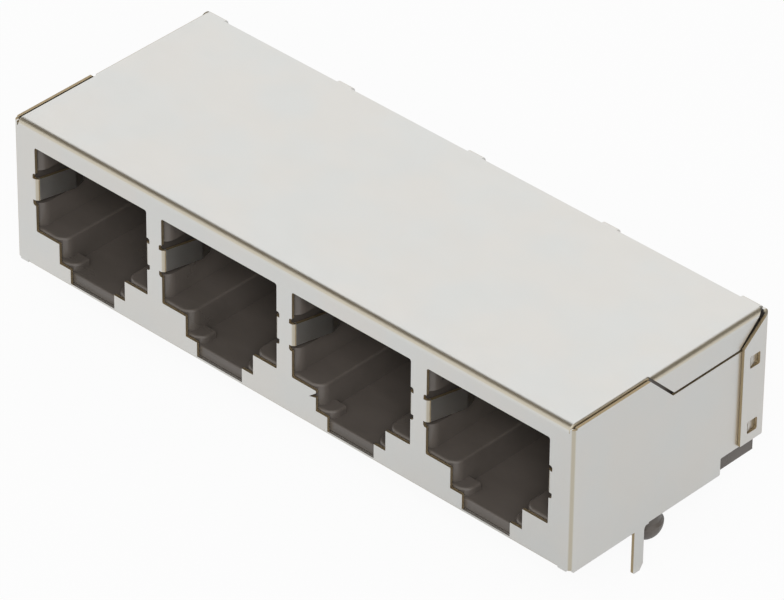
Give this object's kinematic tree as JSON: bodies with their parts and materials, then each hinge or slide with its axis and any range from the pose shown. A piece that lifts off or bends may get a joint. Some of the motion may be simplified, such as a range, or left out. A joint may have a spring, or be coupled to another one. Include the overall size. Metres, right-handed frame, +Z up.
{
  "type": "ganged ethernet connector",
  "caption": "Board-mounted row of modular jacks, latch side down, in one folded metal shield with sprung earthing fingers, over a black housing with board pegs.",
  "frame": {"origin": "on the top face of the board, midway between the two board pegs", "axes": "+X along the row of ports, +Y into the ports, +Z up from the board"},
  "size_m": [0.0594, 0.0216, 0.0174],
  "materials": {
    "shield": "satin nickel plating on thin copper alloy sheet",
    "housing": "moulded black, semi-gloss",
    "carrier": "moulded black, semi-gloss",
    "contact": "gold plating, bright"
  },
  "bodies": {
    "root": {"shield": "shield", "housing": "housing", "insert_1": "carrier", "insert_2": "carrier", "insert_3": "carrier", "insert_4": "carrier", "contact_1_1": "contact", "contact_1_2": "contact", "contact_1_3": "contact", "contact_1_4": "contact", "contact_1_5": "contact", "contact_1_6": "contact", "contact_1_7": "contact", "contact_1_8": "contact", "contact_2_1": "contact", "contact_2_2": "contact", "contact_2_3": "contact", "contact_2_4": "contact", "contact_2_5": "contact", "contact_2_6": "contact", "contact_2_7": "contact", "contact_2_8": "contact", "contact_3_1": "contact", "contact_3_2": "contact", "contact_3_3": "contact", "contact_3_4": "contact", "contact_3_5": "contact", "contact_3_6": "contact", "contact_3_7": "contact", "contact_3_8": "contact", "contact_4_1": "contact", "contact_4_2": "contact", "contact_4_3": "contact", "contact_4_4": "contact", "contact_4_5": "contact", "contact_4_6": "contact", "contact_4_7": "contact", "contact_4_8": "contact"}
  },
  "joints": []
}
